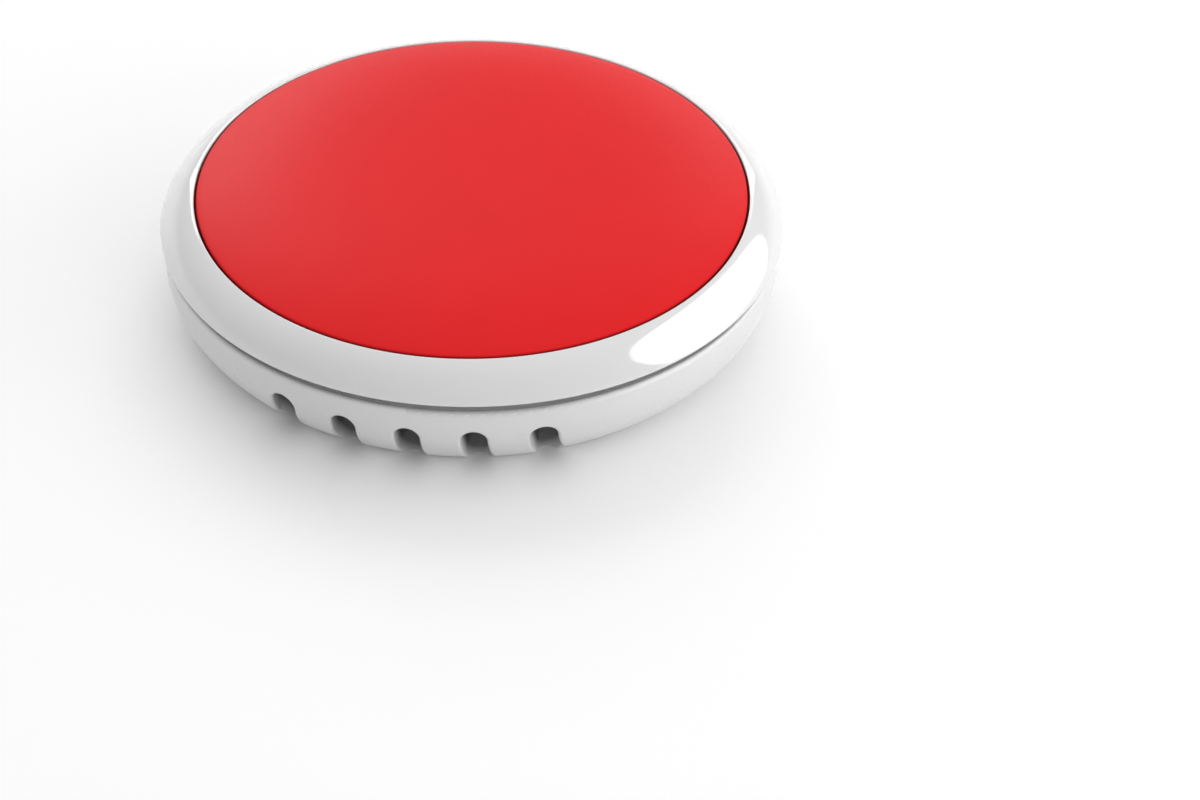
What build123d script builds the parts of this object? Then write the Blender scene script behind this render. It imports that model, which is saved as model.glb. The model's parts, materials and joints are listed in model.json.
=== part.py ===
from build123d import *
import math
import os

# Wireless temperature sensor: a white bowl with vents, a white ring, and a red cap that is pressed.
# Millimetres, +Z up. The origin is the middle of the flat underside, and the vents look along -Y.

STANDING = (Align.CENTER, Align.CENTER, Align.MIN)

# Outside of the housing
bezel_radius = 16.95
seam_height = 5.0
seam_gap = 0.54
foot_inset = 2.35
belly_inset = 0.25
belly_height = 3.5
bead_width = 0.3
bead_height = 0.3
bead_rounding = 0.26
flank_slope = 37.8
flank_pull = 2.1
belly_pull = 1.06
foot_rounding = 0.25

# White ring and red cap
ring_width = 1.95
lip_rise = 1.78
lip_thickness = 0.48
ring_bulge = 0.3
ring_edge_rounding = 0.12
lip_rounding = 0.08
ledge_width = 0.6
cap_gap = 0.12
cap_crown = 1.1
cap_shell = 0.9
cap_side_wall = 0.8
cap_edge_rounding = 0.12
cap_flange_thickness = 0.35
cap_flange_gap = 0.25
cap_rib_count = 6
cap_rib_thickness = 0.5
cap_rib_reach = 6.0
cap_rib_depth = 0.25
press_travel = 0.25
stop_gap = 0.03

# Bowl walls and vents
floor_thickness = 0.9
rim_wall = 1.6
cavity_corner = 2.4
vent_count = 5
vent_pitch = 3.44
vent_width = 1.35
vent_height = 3.2
vent_depth = 0.25
vent_edge_rounding = 0.16
key_angles = (30, 150)
key_width = 1.6
key_depth = 0.5
key_fit = 0.1
floor_ring_radius = 8.0
floor_ring_width = 0.8
floor_ring_gap = 0.05

# Coin cell
cell_radius = 10.0
cell_height = 3.2
cell_lift = 0.35
cell_corner = 0.4
cell_sheet = 0.25
cell_rim_drop = 0.15
cell_crimp_width = 0.65
cell_gasket_width = 0.35
cell_cap_height = 2.25
cathode_height = 1.5
separator_thickness = 0.1
cell_inner_gap = 0.1

# Moulded frame that holds the board and the cell
slip_fit = 0.05
press_fit = 0.03
skirt_wall = 0.7
skirt_drop = 0.7
deck_thickness = 0.6
pocket_fit = 0.15
pocket_wall = 0.65
pocket_mouth_lift = 0.25
lip_reach = 0.7
lip_over_cell = 0.05
web_angles = (0, 60, 120, 240, 300)
web_thickness = 0.6
web_drop = 1.35
thumb_slot_angle = 0
thumb_slot_width = 6.0
thumb_slot_height = 1.6
window_width = 4.0
window_length = 3.0

# Board and its screws
contact_room = 0.4
board_thickness = 0.6
board_fit = 0.15
screw_angles = (90, 210, 330)
screw_radius = 0.5
screw_head_radius = 0.9
screw_head_height = 0.3
screw_length = 2.0
screw_hole_fit = 0.15
thread_fit = 0.03
boss_wall = 0.55
boss_floor = 0.3
slot_width = 0.5
slot_gap = 0.6

# Contacts
clip_angle = 180
clip_width = 3.0
clip_thickness = 0.2
clip_gap = 0.02
clip_tail = 2.2
clip_foot = 1.0
clip_window_fit = 0.2
spring_thickness = 0.12
spring_pad_radius = 1.8
spring_reach = 6.2
spring_finger_count = 3
spring_finger_width = 1.2

# Push switch in the middle of the board
switch_length = 4.0
switch_depth = 3.2
switch_body_height = 0.6
switch_corner = 0.3
switch_well_radius = 1.3
switch_well_floor = 0.15
switch_cover_thickness = 0.12
switch_stem_radius = 0.72
switch_stem_fit = 0.08
switch_collar_thickness = 0.15
switch_stem_rise = 0.25
dome_fit = 0.05
dome_thickness = 0.06
dome_rise = 0.25
terminal_length = 0.5
terminal_width = 0.6
terminal_thickness = 0.12
post_radius = 1.4
post_gap = 0.02

# Small parts on the board: centre x, centre y, length along x, depth along y, height
radio_chip_size = (-6.2, 1.8, 4.0, 4.0, 0.75)
main_crystal_size = (-6.4, -2.6, 2.5, 2.0, 0.55)
clock_crystal_size = (-5.2, 6.2, 3.2, 1.5, 0.6)
antenna_size = (6.6, 8.2, 3.2, 1.6, 0.5)
supply_capacitor_size = (6.2, -2.4, 3.2, 1.6, 0.7)
temperature_chip_size = (0.0, -12.4, 2.0, 2.0, 0.75)
capacitor_body = (1.0, 0.5, 0.5)
capacitor_places = (
    (-2.9, 4.6), (-1.4, 4.6), (-9.2, 0.8), (-9.2, 2.4), (-3.2, -3.2), (3.4, -4.8), (5.2, 0.4),
)
resistor_body = (1.0, 0.5, 0.35)
resistor_places = ((3.6, 3.4), (3.6, 4.5), (3.4, -6.2), (-2.0, -9.6))
inductor_body = (1.6, 0.8, 0.65)
inductor_places = ((1.2, 6.2), (6.6, 5.6))

# Heights and radii that follow from the sizes above
lip_radius = bezel_radius - ring_width
lip_height = seam_height + lip_rise
ledge_height = lip_height - lip_thickness
bezel_bore = lip_radius + ledge_width
foot_radius = bezel_radius - foot_inset
belly_radius = bezel_radius - belly_inset
rim_height = seam_height - seam_gap
bead_inner_radius = belly_radius - bead_width
base_bore = belly_radius - rim_wall
key_top = seam_height - stop_gap
vent_end_radius = foot_radius - vent_depth
cap_radius = lip_radius - cap_gap
cap_top = lip_height + cap_crown
cap_inner_radius = cap_radius - cap_side_wall
cap_flange_radius = bezel_bore - cap_flange_gap
cap_flange_top = ledge_height - stop_gap
cap_bottom = cap_flange_top - cap_flange_thickness
dome_radius = (cap_radius ** 2 + cap_crown ** 2) / (2 * cap_crown)
frame_top = cap_bottom - press_travel - stop_gap
frame_radius = bezel_bore - press_fit
skirt_radius = base_bore - slip_fit
skirt_inner_radius = skirt_radius - skirt_wall
cell_bottom = floor_thickness + cell_lift
cell_top = cell_bottom + cell_height
cell_rim = cell_top - cell_rim_drop
board_bottom = cell_top + contact_room
board_top = board_bottom + board_thickness
board_radius = skirt_inner_radius - board_fit
deck_bottom = board_bottom - deck_thickness
skirt_bottom = deck_bottom - skirt_drop
pocket_radius = cell_radius + pocket_fit
pocket_outer_radius = pocket_radius + pocket_wall
pocket_bottom = cell_bottom + pocket_mouth_lift
screw_circle = (pocket_outer_radius + skirt_inner_radius) / 2
boss_radius = screw_radius + thread_fit + boss_wall
boss_bottom = board_top - screw_length - boss_floor
cell_cap_radius = cell_radius - cell_crimp_width - cell_gasket_width
clip_inner_radius = cell_radius + clip_gap
clip_outer_radius = clip_inner_radius + clip_thickness
clip_bottom = cell_bottom - clip_gap - clip_thickness
switch_body_top = board_top + switch_body_height
switch_cover_top = switch_body_top + switch_cover_thickness
stem_top = switch_cover_top + switch_stem_rise
well_floor = board_top + switch_well_floor
post_bottom = stem_top + post_gap


def under_dome(radius):
    """Height of the underside of the cap's shell at this radius."""
    return cap_top - dome_radius + math.sqrt((dome_radius - cap_shell) ** 2 - radius ** 2)


def turned(section):
    """Solid turned about the Z axis from a flat section drawn as (radius, height)."""
    return revolve(Plane.XZ * section, Axis.Z)


def turned_outline(*points):
    """Solid turned about the Z axis from a closed outline of straight lines."""
    return turned(make_face(Polyline(*points, close=True)))


def rounded(section, corner, radius):
    """The flat section with the corner at this point rounded."""
    return fillet(section.vertices().sort_by_distance(corner)[0], radius)


def at_angle(angle, shape):
    """A copy of the shape turned about the Z axis."""
    return Rot(0, 0, angle) * shape


def block(x_low, x_high, width, z_low, z_high):
    """Block between two X values, centred on Y = 0."""
    return Pos((x_low + x_high) / 2, 0, (z_low + z_high) / 2) * Box(x_high - x_low, width, z_high - z_low)


def rounded_block(length, depth, height, corner):
    """Block standing on Z = 0 with rounded upright corners."""
    return extrude(RectangleRounded(length, depth, corner), height)


# Bowl


def vent_cutter(offset):
    """Slot with an arched roof and a round inner end, open below. All slots run out along -Y."""
    half = vent_width / 2
    spring_line = vent_height - half
    end = -math.sqrt((vent_end_radius + half) ** 2 - offset ** 2)
    arch = make_face([
        Polyline((half, spring_line), (half, -1), (-half, -1), (-half, spring_line)),
        ThreePointArc((-half, spring_line), (0, vent_height), (half, spring_line)),
    ])
    slot = extrude(Plane.XZ.offset(-end) * arch, bezel_radius)
    round_end = Pos(0, end, -1) * Cylinder(half, spring_line + 1, align=STANDING)
    return Pos(offset, 0, 0) * (slot + round_end)


def base_housing():
    slope = math.radians(flank_slope)
    flank = Bezier(
        (foot_radius, 0),
        (foot_radius + flank_pull * math.cos(slope), flank_pull * math.sin(slope)),
        (belly_radius, belly_height - belly_pull),
        (belly_radius, belly_height),
    )
    wall = Polyline(
        (belly_radius, belly_height), (belly_radius, rim_height), (bead_inner_radius, rim_height),
        (bead_inner_radius, rim_height - bead_height), (base_bore, rim_height - bead_height),
        (base_bore, floor_thickness), (0, floor_thickness), (0, 0), (foot_radius, 0),
    )
    section = make_face([flank, wall])
    section = rounded(section, (belly_radius, rim_height), bead_rounding)
    section = rounded(section, (base_bore, floor_thickness), cavity_corner)
    bowl = turned(section)
    bowl = fillet(bowl.edges().group_by(Axis.Z)[0], foot_rounding)
    for number in range(vent_count):
        bowl -= vent_cutter(vent_pitch * (number - (vent_count - 1) / 2))
    bowl = fillet(vent_rims(bowl), vent_edge_rounding)
    ring_top = cell_bottom - floor_ring_gap
    half_ring = floor_ring_width / 2
    bowl += turned_outline(
        (floor_ring_radius - half_ring, 0.5 * floor_thickness),
        (floor_ring_radius + half_ring, 0.5 * floor_thickness),
        (floor_ring_radius + half_ring, ring_top),
        (floor_ring_radius - half_ring, ring_top),
    )
    # Two keys turn the cover with the bowl and carry it, which keeps the groove under the ring open
    key = block(base_bore - key_depth, base_bore + rim_wall / 2, key_width, belly_height, key_top)
    for angle in key_angles:
        bowl += at_angle(angle, key)
    return bowl


def vent_rims(bowl):
    """Edges where the vents break out through the curved flank."""
    flank = bowl.faces().filter_by(GeomType.REVOLUTION)[0]
    return [edge for edge in flank.edges() if edge.geom_type != GeomType.CIRCLE]


# Ring and cap


def bezel_ring():
    crest = SagittaArc((lip_radius, lip_height), (bezel_radius, seam_height), ring_bulge)
    inside = Polyline(
        (bezel_radius, seam_height), (bezel_bore, seam_height), (bezel_bore, ledge_height),
        (lip_radius, ledge_height), (lip_radius, lip_height),
    )
    section = make_face([crest, inside])
    section = rounded(section, (lip_radius, lip_height), lip_rounding)
    section = rounded(section, (bezel_radius, seam_height), ring_edge_rounding)
    return turned(section)


def push_cap():
    crown = TangentArc((0, cap_top), (cap_radius, lip_height), tangent=(1, 0))
    side = Polyline(
        (cap_radius, lip_height), (cap_radius, cap_flange_top), (cap_flange_radius, cap_flange_top),
        (cap_flange_radius, cap_bottom), (cap_inner_radius, cap_bottom),
        (cap_inner_radius, under_dome(cap_inner_radius)),
    )
    underside = TangentArc((0, cap_top - cap_shell), (cap_inner_radius, under_dome(cap_inner_radius)),
                           tangent=(1, 0))
    axis = Line((0, cap_top - cap_shell), (0, cap_top))
    section = make_face([crown, side, underside, axis])
    cap = turned(rounded(section, (cap_radius, lip_height), cap_edge_rounding))
    middle = under_dome(0)
    post = Pos(0, 0, post_bottom) * Cylinder(post_radius, middle + cap_shell / 2 - post_bottom,
                                             align=STANDING)
    cap += post
    rib_bottom = under_dome(cap_rib_reach) - cap_rib_depth
    rib = block(0, cap_rib_reach, cap_rib_thickness, rib_bottom, middle)
    for number in range(cap_rib_count):
        cap += at_angle(360 / cap_rib_count * (number + 0.5), rib)
    return cap


# Frame, board and screws


def inner_frame():
    lip_bottom = cell_rim + lip_over_cell
    cell_lip_radius = cell_radius - lip_reach
    frame = turned_outline(
        (cell_lip_radius, board_bottom), (cell_lip_radius, lip_bottom), (pocket_radius, lip_bottom),
        (pocket_radius, pocket_bottom), (pocket_outer_radius, pocket_bottom),
        (pocket_outer_radius, deck_bottom), (skirt_inner_radius, deck_bottom),
        (skirt_inner_radius, skirt_bottom), (skirt_radius, skirt_bottom), (skirt_radius, seam_height),
        (frame_radius, seam_height), (frame_radius, frame_top), (skirt_inner_radius, frame_top),
        (skirt_inner_radius, board_bottom),
    )
    overlap = pocket_wall / 2
    web = block(pocket_outer_radius - overlap, skirt_inner_radius + skirt_wall / 2, web_thickness,
                skirt_bottom, deck_bottom + deck_thickness / 2)
    web += block(pocket_outer_radius - overlap, skirt_inner_radius, web_thickness,
                 deck_bottom - web_drop, deck_bottom)
    for angle in web_angles:
        frame += at_angle(angle, web)
    boss = Pos(screw_circle, 0, boss_bottom) * Cylinder(
        boss_radius, deck_bottom + deck_thickness / 2 - boss_bottom,
        align=STANDING)
    pilot = Pos(screw_circle, 0, boss_bottom + boss_floor) * Cylinder(
        screw_radius + thread_fit, board_top, align=STANDING)
    for angle in screw_angles:
        frame += at_angle(angle, boss)
    for angle in screw_angles:
        frame -= at_angle(angle, pilot)
    key_slot = block(base_bore - key_depth - key_fit, skirt_radius + 1, key_width + 2 * key_fit,
                     skirt_bottom - 1, seam_height)
    for angle in key_angles:
        frame -= at_angle(angle, key_slot)
    frame -= at_angle(clip_angle, block(
        cell_lip_radius - 1, clip_inner_radius + clip_tail + clip_window_fit,
        clip_width + 2 * clip_window_fit, pocket_bottom - 1, board_bottom + 1))
    frame -= at_angle(thumb_slot_angle, block(
        pocket_radius - 1, pocket_outer_radius + 0.01, thumb_slot_width,
        pocket_bottom - 1, pocket_bottom + thumb_slot_height))
    chip_distance = math.hypot(temperature_chip_size[0], temperature_chip_size[1])
    frame -= at_angle(-90, block(
        chip_distance - window_length / 2, chip_distance + window_length / 2, window_width,
        deck_bottom - 1, board_bottom + 1))
    return frame


def circuit_board():
    board = Pos(0, 0, board_bottom) * Cylinder(board_radius, board_thickness,
                                              align=STANDING)
    hole = Pos(screw_circle, 0, board_bottom) * Cylinder(screw_radius + screw_hole_fit, 3 * board_thickness)
    for angle in screw_angles:
        board -= at_angle(angle, hole)
    # Two milled slots keep the board's heat away from the temperature chip
    chip_x, chip_y, chip_length, chip_depth, chip_height = temperature_chip_size
    side = chip_length / 2 + slot_gap + slot_width / 2
    slot = extrude(SlotOverall(window_length, slot_width, rotation=90), board_thickness)
    for direction in (-1, 1):
        board -= Pos(chip_x + direction * side, chip_y, board_bottom) * slot
    return board


def board_screws():
    outline = (
        (0, board_top + screw_head_height), (screw_head_radius, board_top + screw_head_height),
        (screw_head_radius, board_top), (screw_radius, board_top),
        (screw_radius, board_top - screw_length), (0, board_top - screw_length),
    )
    screw = turned_outline(*outline)
    return [at_angle(angle, Pos(screw_circle, 0, 0) * screw) for angle in screw_angles]


# Coin cell, plus side down


def widest_edges(solid, radius):
    """Full circles at least this large, lowest first."""
    return solid.edges().filter_by(lambda edge: edge.length > 2 * math.pi * (radius - 0.01)).sort_by(Axis.Z)


def cell_can():
    crimp_inner = cell_radius - cell_crimp_width
    wall_inner = cell_radius - cell_sheet
    can_floor = cell_bottom + cell_sheet
    can = turned_outline(
        (0, cell_bottom), (cell_radius, cell_bottom), (cell_radius, cell_rim), (crimp_inner, cell_rim),
        (crimp_inner, cell_rim - cell_sheet), (wall_inner, cell_rim - cell_sheet), (wall_inner, can_floor),
        (0, can_floor),
    )
    can = fillet(widest_edges(can, cell_radius)[0], cell_corner)
    return fillet(widest_edges(can, cell_radius)[-1], cell_sheet / 2)


def cell_gasket():
    crimp_inner = cell_radius - cell_crimp_width
    wall_inner = cell_radius - cell_sheet
    low = cell_bottom + cell_sheet
    return turned_outline(
        (cell_cap_radius, low), (wall_inner, low), (wall_inner, cell_rim - cell_sheet),
        (crimp_inner, cell_rim - cell_sheet), (crimp_inner, cell_rim), (cell_cap_radius, cell_rim),
    )


def cell_cap():
    inner = cell_cap_radius - cell_sheet
    low = cell_top - cell_cap_height
    lid = turned_outline(
        (0, cell_top - cell_sheet), (inner, cell_top - cell_sheet), (inner, low), (cell_cap_radius, low),
        (cell_cap_radius, cell_top), (0, cell_top),
    )
    return fillet(widest_edges(lid, cell_cap_radius)[-1], cell_sheet)


def cell_filling():
    """Three discs stacked in the cell: the cathode, the separator and the lithium anode."""
    radius = cell_cap_radius - cell_sheet - cell_inner_gap
    heights = {"cell_cathode": cathode_height, "cell_separator": separator_thickness}
    heights["cell_anode"] = cell_height - 2 * cell_sheet - sum(heights.values())
    low = cell_bottom + cell_sheet
    discs = {}
    for name, height in heights.items():
        discs[name] = Pos(0, 0, low) * Cylinder(radius, height, align=STANDING)
        low += height
    return discs


# Contacts


def positive_clip():
    """Bent strip: a tail under the board, an arm down the cell's side and a foot under its edge."""
    strip = extrude(Plane.XZ.offset(-clip_width / 2) * make_face(Polyline(
        (clip_inner_radius - clip_foot, clip_bottom), (clip_outer_radius, clip_bottom),
        (clip_outer_radius, board_bottom - clip_thickness),
        (clip_inner_radius + clip_tail, board_bottom - clip_thickness),
        (clip_inner_radius + clip_tail, board_bottom), (clip_inner_radius, board_bottom),
        (clip_inner_radius, clip_bottom + clip_thickness),
        (clip_inner_radius - clip_foot, clip_bottom + clip_thickness),
        close=True)), clip_width)
    return at_angle(clip_angle, strip)


def negative_spring():
    """Pad under the board with fingers that slope down to the cell's cap."""
    pad = Pos(0, 0, board_bottom - spring_thickness) * Cylinder(
        spring_pad_radius, spring_thickness, align=STANDING)
    touch = cell_top + clip_gap
    root = board_bottom - spring_thickness
    heel = 0.9 * spring_reach
    tip = touch + spring_thickness
    finger = extrude(Plane.XZ.offset(-spring_finger_width / 2) * make_face(Polyline(
        (spring_pad_radius / 2, root), (spring_pad_radius, root), (heel, touch), (spring_reach, tip),
        (spring_reach, tip + spring_thickness), (heel, touch + spring_thickness),
        (spring_pad_radius, board_bottom), (spring_pad_radius / 2, board_bottom),
        close=True)), spring_finger_width)
    for number in range(spring_finger_count):
        pad += at_angle(30 + 360 / spring_finger_count * number, finger)
    return pad


# Push switch


def switch_body():
    body = Pos(0, 0, board_top) * rounded_block(
        switch_length, switch_depth, switch_body_height, switch_corner)
    well = Pos(0, 0, well_floor) * Cylinder(switch_well_radius, switch_body_height,
                                            align=STANDING)
    return body - well


def switch_terminals():
    tab = Pos((switch_length + terminal_length) / 2, 0, board_top + terminal_thickness / 2) * Box(
        terminal_length, terminal_width, terminal_thickness)
    across = switch_depth / 2 - terminal_width
    corners = [Pos(0, across, 0), Pos(0, -across, 0)]
    return [at_angle(turn, place * tab) for turn in (0, 180) for place in corners]


def switch_dome():
    rim = switch_well_radius - dome_fit
    top = well_floor + dome_rise
    return turned(make_face([
        TangentArc((0, top), (rim, well_floor + dome_thickness), tangent=(1, 0)),
        Line((rim, well_floor + dome_thickness), (rim, well_floor)),
        TangentArc((0, top - dome_thickness), (rim, well_floor), tangent=(1, 0)),
        Line((0, top - dome_thickness), (0, top)),
    ]))


def switch_cover():
    plate = Pos(0, 0, switch_body_top) * rounded_block(
        switch_length, switch_depth, switch_cover_thickness, switch_corner)
    return plate - Pos(0, 0, switch_body_top) * Cylinder(switch_stem_radius + switch_stem_fit, 1)


def switch_plunger():
    collar_radius = switch_well_radius - 2 * switch_stem_fit
    collar_top = switch_body_top - post_gap
    collar_bottom = collar_top - switch_collar_thickness
    return turned_outline(
        (0, collar_bottom), (collar_radius, collar_bottom), (collar_radius, collar_top),
        (switch_stem_radius, collar_top), (switch_stem_radius, stem_top), (0, stem_top),
    )


# Small parts on the board


def on_board(place, corner=0.1):
    """Rounded block on the board's upper side."""
    x, y, length, depth, height = place
    return Pos(x, y, board_top) * rounded_block(length, depth, height, corner)


def row_of(places, body):
    """One small block at each place on the board's upper side."""
    length, depth, height = body
    return [Pos(x, y, board_top + height / 2) * Box(length, depth, height) for x, y in places]


def temperature_chip():
    x, y, length, depth, height = temperature_chip_size
    return Pos(x, y, board_bottom - height) * rounded_block(length, depth, height, 0.1)


nodes = {
    "base_housing": base_housing(),
    "bezel_ring": bezel_ring(),
    "push_cap": push_cap(),
    "inner_frame": inner_frame(),
    "circuit_board": circuit_board(),
    "board_screws": board_screws(),
    "cell_can": cell_can(),
    "cell_gasket": cell_gasket(),
    "cell_cap": cell_cap(),
    **cell_filling(),
    "positive_clip": positive_clip(),
    "negative_spring": negative_spring(),
    "switch_body": switch_body(),
    "switch_terminals": switch_terminals(),
    "switch_dome": switch_dome(),
    "switch_cover": switch_cover(),
    "switch_plunger": switch_plunger(),
    "radio_chip": on_board(radio_chip_size),
    "main_crystal": on_board(main_crystal_size, 0.3),
    "clock_crystal": on_board(clock_crystal_size, 0.3),
    "chip_antenna": on_board(antenna_size),
    "supply_capacitor": on_board(supply_capacitor_size),
    "temperature_chip": temperature_chip(),
    "chip_capacitors": row_of(capacitor_places, capacitor_body),
    "chip_resistors": row_of(resistor_places, resistor_body),
    "chip_inductors": row_of(inductor_places, inductor_body),
}

os.makedirs("parts", exist_ok=True)
for name, shape in nodes.items():
    solids = shape if isinstance(shape, list) else [shape]
    solids = [solid for item in solids for solid in item.solids()]
    piece = solids[0] if len(solids) == 1 else Compound(children=solids)
    piece.label = name
    export_step(piece, f"parts/{name}.step")
    print(name, len(solids), "solid(s)", round(sum(solid.volume for solid in solids), 2), "mm3")
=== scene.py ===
# %% [markdown]
# # A small wireless temperature sensor
# The real thing is a white bowl with five vents, a glossy white ring and a domed red cap.
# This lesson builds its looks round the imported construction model. Each step first says what
# the piece is on the real object, then how it could be made, and why this way was chosen.

# %% Load the construction model
import json
import math

import bmesh
import bpy
from mathutils import Matrix, Vector


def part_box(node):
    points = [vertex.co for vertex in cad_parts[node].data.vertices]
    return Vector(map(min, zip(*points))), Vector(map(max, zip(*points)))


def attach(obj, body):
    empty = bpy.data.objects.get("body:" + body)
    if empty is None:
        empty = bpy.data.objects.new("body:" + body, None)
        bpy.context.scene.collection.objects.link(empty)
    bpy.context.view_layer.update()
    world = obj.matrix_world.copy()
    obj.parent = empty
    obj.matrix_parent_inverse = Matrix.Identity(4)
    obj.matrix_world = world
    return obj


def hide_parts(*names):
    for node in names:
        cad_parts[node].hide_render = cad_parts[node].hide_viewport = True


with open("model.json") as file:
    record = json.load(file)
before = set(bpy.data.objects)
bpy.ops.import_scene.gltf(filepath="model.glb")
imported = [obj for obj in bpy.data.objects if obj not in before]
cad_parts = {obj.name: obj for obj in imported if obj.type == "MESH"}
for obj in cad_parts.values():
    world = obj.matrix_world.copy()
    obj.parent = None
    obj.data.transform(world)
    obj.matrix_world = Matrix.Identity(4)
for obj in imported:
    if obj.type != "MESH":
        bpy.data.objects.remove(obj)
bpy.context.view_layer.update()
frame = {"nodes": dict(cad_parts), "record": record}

MM = 0.001
scene = bpy.context.scene


def box_in_mm(name):
    """A construction piece's lowest and highest corners, in millimetres."""
    return [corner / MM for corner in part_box(name)]


# %% [markdown]
# ## The camera
# The photograph looks down on the sensor with a long lens. Its place could be found by eye, but
# round things give it exactly: each circle is seen as an ellipse, and one camera fits them all.
# The sizes below are that camera's, measured from the middle of the sensor's underside.

# %% Put the camera where the photograph was taken
camera_reach = 173.7 * MM
camera_side = 7.06 * MM
camera_height = 127.06 * MM
camera_heading = math.radians(10.0)
camera_pitch = math.radians(37.75)
camera_roll = 0.014
film_width = 36.0
focal_length = 117.14

ahead = Vector((-math.sin(camera_heading), math.cos(camera_heading), 0))
right = Vector((math.cos(camera_heading), math.sin(camera_heading), 0))
look = ahead * math.cos(camera_pitch) - Vector((0, 0, math.sin(camera_pitch)))
up = right.cross(look)
image_right = right * math.cos(camera_roll) + up * math.sin(camera_roll)
image_up = up * math.cos(camera_roll) - right * math.sin(camera_roll)

camera_data = bpy.data.cameras.new("photo_camera")
camera_data.sensor_width = film_width
camera_data.lens = focal_length
camera_data.clip_start = 0.01
camera = bpy.data.objects.new("photo_camera", camera_data)
scene.collection.objects.link(camera)
camera_spot = right * camera_side - ahead * camera_reach + Vector((0, 0, camera_height))
camera_turn = Matrix((image_right, image_up, -look)).transposed().to_4x4()
camera.matrix_world = Matrix.Translation(camera_spot) @ camera_turn
scene.camera = camera
print("camera at", [round(value / MM, 1) for value in camera_spot])

# %% [markdown]
# ## Nodes in code
# Every finish here is made of shader nodes, and the new shapes of geometry nodes, so nothing is
# read from a picture. Each node could be added and linked line by line, but one helper that adds
# a node of either kind and fills its sockets keeps each tree short enough to read.

# %% One helper for every node
def node(tree, kind, **values):
    """Adds a node and returns it. A keyword in small letters is a setting of the node. Any other
    is a socket's name, with _ for each space."""
    made = tree.nodes.new(kind)
    for name, value in values.items():
        if name.islower():
            setattr(made, name, value)
        elif isinstance(value, bpy.types.NodeSocket):
            tree.links.new(value, made.inputs[name.replace("_", " ")])
        else:
            made.inputs[name.replace("_", " ")].default_value = value
    return made


def maths(tree, operation, *values):
    """Adds a Math node. Each value is a number or another node's output."""
    made = node(tree, "ShaderNodeMath", operation=operation)
    for socket, value in zip(made.inputs, values):
        if isinstance(value, bpy.types.NodeSocket):
            tree.links.new(value, socket)
        else:
            socket.default_value = value
    return made.outputs["Value"]


def product(tree, first, *others):
    """All the levels multiplied with each other."""
    for other in others:
        first = maths(tree, "MULTIPLY", first, other)
    return first


def ranged(tree, value, from_low, from_high, to_low, to_high, **settings):
    """Adds a Map Range node, which turns one range of levels into another."""
    return node(tree, "ShaderNodeMapRange", Value=value, From_Min=from_low, From_Max=from_high,
                To_Min=to_low, To_Max=to_high, **settings).outputs["Result"]


def from_axis(tree, place):
    """The coordinates apart, and how far the place is from the upright axis."""
    parts = node(tree, "ShaderNodeSeparateXYZ", Vector=place).outputs
    flat = node(tree, "ShaderNodeCombineXYZ", X=parts["X"], Y=parts["Y"])
    radius = node(tree, "ShaderNodeVectorMath", operation="LENGTH", Vector=flat.outputs["Vector"])
    return parts, radius.outputs["Value"]


# %% [markdown]
# ## Finishes with a grain
# Moulded plastic is never one flat colour. Its tint wanders a little, and the fine grain of the
# mould breaks up its shine. Noise on object coordinates gives both at a real scale, and it
# stays in place when the piece moves. Metal is the same idea with the grain drawn out into
# lines, so one recipe serves both.

# %% The recipe for plastic and metal
CLOUD_SIZE = 9 * MM
CLOUD_RANGE = (0.3, 0.7)
GRAIN_RANGE = (0.25, 0.75)
GLOSS_SWING = 0.15


def grey(level):
    return (level, level, level, 1)


def new_material(name, **sockets):
    """A material with these values on its Principled shader. Returns it, its tree, the shader
    and the object coordinates."""
    material = bpy.data.materials.new(name)
    material.use_nodes = True
    tree = material.node_tree
    surface = tree.nodes["Principled BSDF"]
    for socket, value in sockets.items():
        surface.inputs[socket.replace("_", " ")].default_value = value
    return material, tree, surface, node(tree, "ShaderNodeTexCoord").outputs["Object"]


def grained(name, colour, roughness, grain_size, grain_depth, mottle, follow=None, darken=None,
            **sockets):
    """A finish whose colour wanders a little, by mottle, and whose fine grain breaks up its
    shine. A follow function can lead the grain another way, and a darken function can paint
    shade into some places."""
    material, tree, surface, place = new_material(name, **sockets)
    cloud = node(tree, "ShaderNodeTexNoise", Vector=place, Scale=1 / CLOUD_SIZE, Detail=3.0)
    shade = ranged(tree, cloud.outputs["Fac"], *CLOUD_RANGE, 1 - mottle, 1 + mottle)
    # Painted shade: the darken function makes the colour darker where shade falls.
    if darken:
        shade = darken(tree, place, shade)
    tint = node(tree, "ShaderNodeVectorMath", operation="SCALE", Vector=colour[:3], Scale=shade)
    tree.links.new(tint.outputs["Vector"], surface.inputs["Base Color"])
    lie = follow(tree, place) if follow else place
    grain = node(tree, "ShaderNodeTexNoise", Vector=lie, Scale=1 / grain_size, Detail=4.0,
                 Roughness=0.6)
    gloss = ranged(tree, grain.outputs["Fac"], *GRAIN_RANGE,
                   (1 - GLOSS_SWING) * roughness, (1 + GLOSS_SWING) * roughness)
    tree.links.new(gloss, surface.inputs["Roughness"])
    bump = node(tree, "ShaderNodeBump", Height=grain.outputs["Fac"], Distance=grain_depth)
    tree.links.new(bump.outputs["Normal"], surface.inputs["Normal"])
    print("finish", name, "made of", len(tree.nodes), "nodes")
    return material


# %% [markdown]
# ## Which way the grain runs
# Turned metal shows rings and brushed metal shows lines. Both could be drawn as stripes, but the
# plastic's own grain does it too, when the coordinates under it are bent round or drawn out.

# %% Turned and brushed grain
BRUSHED_STRETCH = 0.06


def in_rings(tree, place):
    """Coordinates that stay the same all round a ring, so the grain becomes turned lines."""
    parts, radius = from_axis(tree, place)
    return node(tree, "ShaderNodeCombineXYZ", X=radius, Y=parts["Z"]).outputs["Vector"]


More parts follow.
